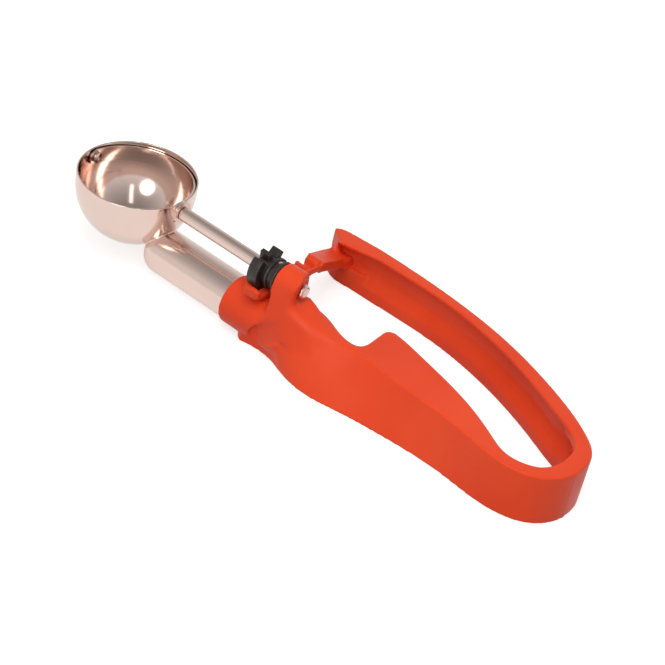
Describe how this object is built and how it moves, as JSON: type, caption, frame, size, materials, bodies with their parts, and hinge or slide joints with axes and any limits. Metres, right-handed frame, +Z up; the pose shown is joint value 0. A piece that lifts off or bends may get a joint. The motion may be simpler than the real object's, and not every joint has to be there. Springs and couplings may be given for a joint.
{
  "type": "ice cream scoop",
  "caption": "Squeeze-lever ice cream scoop: steel bowl on a stem, sprung lever with a rack that turns a pinion, rod and scraper blade.",
  "frame": {"origin": "on the flat sole of the handle, straight under the scraper rod's axis, 100 mm behind the bowl's centre", "axes": "+X from the bowl to the back of the handle, +Y towards the squeeze lever, +Z up from the sole, the way the bowl opens within a few degrees"},
  "size_m": [0.2565, 0.096, 0.0419],
  "materials": {
    "polished_steel": "mirror polished stainless steel",
    "drawn_steel": "drawn stainless steel, lightly polished",
    "orange_plastic": "smooth moulded, semi-gloss",
    "black_plastic": "satin moulded nylon"
  },
  "bodies": {
    "handle": {"handle_grip": "orange_plastic", "stem_tube": "polished_steel", "bowl": "polished_steel", "rod_bush": "drawn_steel", "pivot_rivet": "drawn_steel"},
    "lever": {"squeeze_lever": "orange_plastic"},
    "scraper": {"scraper_rod": "drawn_steel", "scraper_blade": "polished_steel", "pinion": "black_plastic", "pinion_pin": "drawn_steel"}
  },
  "joints": [
    {"name": "lever_squeeze", "type": "hinge", "parent": "handle", "child": "lever", "pos_m": [0.1253, 0.012, 0.0113], "axis": [0, 0, 1], "range_deg": [0, 8.75], "stiffness_Nm_per_rad": 8, "springref_deg": -1.15},
    {"name": "scraper_sweep", "type": "hinge", "parent": "handle", "child": "scraper", "pos_m": [-0.0255, 0, 0.0328], "axis": [1, 0, 0], "range_deg": [-165, 0]}
  ],
  "couplings": [
    {"joint": "scraper_sweep", "follows": "lever_squeeze", "ratio": -18.85}
  ]
}
